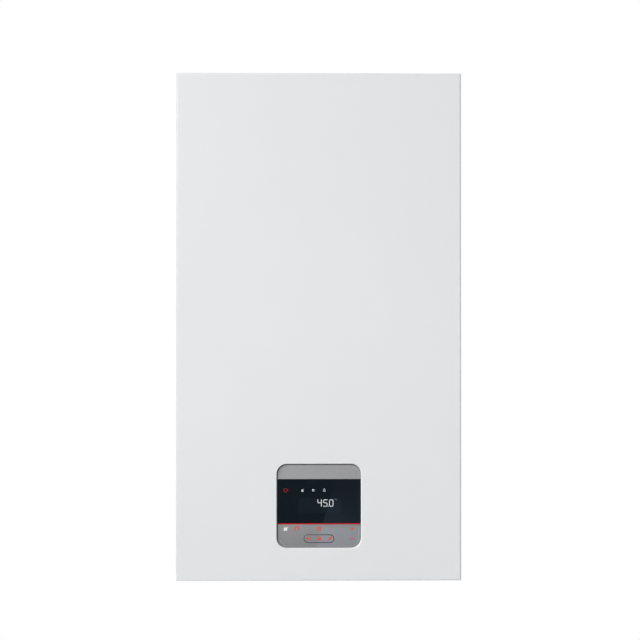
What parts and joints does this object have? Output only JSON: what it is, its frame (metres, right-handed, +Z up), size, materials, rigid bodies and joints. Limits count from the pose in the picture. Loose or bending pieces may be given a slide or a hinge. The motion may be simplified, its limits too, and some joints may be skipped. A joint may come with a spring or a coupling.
{
  "type": "condensing boiler",
  "caption": "Wall-hung condensing combination boiler with a lift-off painted cover, a square control panel in a window, and its working parts inside.",
  "frame": {"origin": "on the wall, midway between the two screw holes of the wall bracket", "axes": "+Z up, +Y into the wall, front of the boiler towards -Y, +X to the right seen from the front"},
  "size_m": [0.393, 0.295, 0.708],
  "materials": {
    "white_paint": "satin powder coat",
    "galvanised": "zinc coated sheet",
    "rubber_black": "matt moulded rubber",
    "flue_plastic": "black polypropylene",
    "vessel_red": "gloss enamel",
    "stainless": "stainless steel, heat marked near the welds",
    "cast_alloy": "die cast, fine grain",
    "copper": "drawn copper tube, slightly dulled",
    "brass": "turned and hot pressed brass",
    "black_plastic": "moulded glass-filled plastic",
    "grey_plastic": "moulded plastic",
    "pump_cast": "painted cast iron",
    "red_plastic": "moulded plastic",
    "blue_plastic": "moulded plastic",
    "board_green": "solder mask",
    "silver_panel": "satin silver plastic",
    "panel_glass": "black glossy front",
    "display_dark": "dark display",
    "ceramic": "glazed ceramic",
    "seal_fibre": "fibre cord",
    "foam_grey": "closed cell foam"
  },
  "bodies": {
    "boiler_frame": {"back_frame": "galvanised", "wall_bracket": "galvanised", "left_side_panel": "white_paint", "right_side_panel": "white_paint", "top_plate": "white_paint", "base_plate": "galvanised", "pipe_grommets": "rubber_black", "flue_collar": "flue_plastic", "flue_seals": "rubber_black", "flue_pipe": "flue_plastic", "expansion_vessel": "vessel_red", "vessel_pipe": "copper", "heat_exchanger_shell": "stainless", "heat_exchanger_coil": "stainless", "burner_door": "cast_alloy", "burner_tube": "stainless", "burner_door_nuts": "brass", "door_seal": "seal_fibre", "ignition_electrode": "ceramic", "gas_air_duct": "cast_alloy", "fan_housing": "cast_alloy", "fan_motor": "black_plastic", "venturi": "black_plastic", "gas_valve": "cast_alloy", "gas_pipe": "copper", "pump_body": "pump_cast", "pump_motor": "black_plastic", "air_vent": "brass", "diverter_valve": "black_plastic", "diverter_motor": "grey_plastic", "plate_heat_exchanger": "stainless", "flow_pipe": "copper", "return_pipe": "copper", "heating_tails": "brass", "water_pipes": "copper", "safety_valve": "brass", "pressure_gauge": "black_plastic", "filling_tap": "brass", "condensate_trap": "grey_plastic", "condensate_hose": "rubber_black", "cable_gland": "black_plastic", "control_box_hinges": "galvanised", "front_seal": "foam_grey"},
    "cover": {"front_cover": "white_paint", "cover_screws": "galvanised"},
    "control_box": {"control_box_tray": "black_plastic", "control_box_lid": "black_plastic", "main_board": "board_green", "display_bezel": "silver_panel", "display_glass": "panel_glass", "lcd_module": "display_dark"},
    "key_stem": {"menu_key_stem": "grey_plastic"},
    "key_bar": {"menu_key_bar": "silver_panel"},
    "fan_wheel": {"fan_impeller": "grey_plastic"},
    "pump_wheel": {"pump_impeller": "grey_plastic"},
    "plunger": {"diverter_plunger": "brass"},
    "relief_knob": {"safety_valve_knob": "red_plastic"},
    "needle": {"gauge_needle": "red_plastic"},
    "tap_knob": {"filling_tap_knob": "blue_plastic"},
    "cup": {"trap_cup": "grey_plastic"}
  },
  "joints": [
    {"name": "front_cover_slide", "type": "slide", "parent": "boiler_frame", "child": "cover", "axis": [0, -1, 0], "range_m": [0, 0.36]},
    {"name": "control_box_tilt", "type": "hinge", "parent": "boiler_frame", "child": "control_box", "pos_m": [0, -0.274, -0.58], "axis": [1, 0, 0], "range_deg": [0, 90]},
    {"name": "menu_key_press", "type": "slide", "parent": "control_box", "child": "key_stem", "axis": [0, 1, 0], "range_m": [0, 0.0008], "stiffness_N_per_m": 1200, "springref_m": -0.0004},
    {"name": "menu_key_rock", "type": "hinge", "parent": "key_stem", "child": "key_bar", "pos_m": [0.0007, -0.2861, -0.58], "axis": [0, 0, 1], "range_deg": [-2, 2], "stiffness_Nm_per_rad": 0.2},
    {"name": "fan_spin", "type": "hinge", "parent": "boiler_frame", "child": "fan_wheel", "pos_m": [0.11, -0.23, -0.323], "axis": [0, -1, 0], "continuous": true},
    {"name": "pump_spin", "type": "hinge", "parent": "boiler_frame", "child": "pump_wheel", "pos_m": [0.118, -0.11, -0.523], "axis": [0, -1, 0], "continuous": true},
    {"name": "diverter_travel", "type": "slide", "parent": "boiler_frame", "child": "plunger", "axis": [0, 0, 1], "range_m": [0, 0.008]},
    {"name": "safety_valve_turn", "type": "hinge", "parent": "boiler_frame", "child": "relief_knob", "pos_m": [0.06, -0.17, -0.556], "axis": [0, -1, 0], "range_deg": [0, 90]},
    {"name": "gauge_needle_turn", "type": "hinge", "parent": "boiler_frame", "child": "needle", "pos_m": [-0.09, -0.19, -0.61], "axis": [0, 0, 1], "range_deg": [0, 270]},
    {"name": "filling_tap_turn", "type": "hinge", "parent": "boiler_frame", "child": "tap_knob", "pos_m": [-0.025, -0.19, -0.618], "axis": [0, 0, 1], "range_deg": [0, 90]},
    {"name": "trap_cup_drop", "type": "slide", "parent": "boiler_frame", "child": "cup", "axis": [0, 0, -1], "range_m": [0, 0.065]}
  ],
  "couplings": [
    {"joint": "control_box_tilt", "follows": "front_cover_slide", "rad_per_m": 4.363}
  ]
}
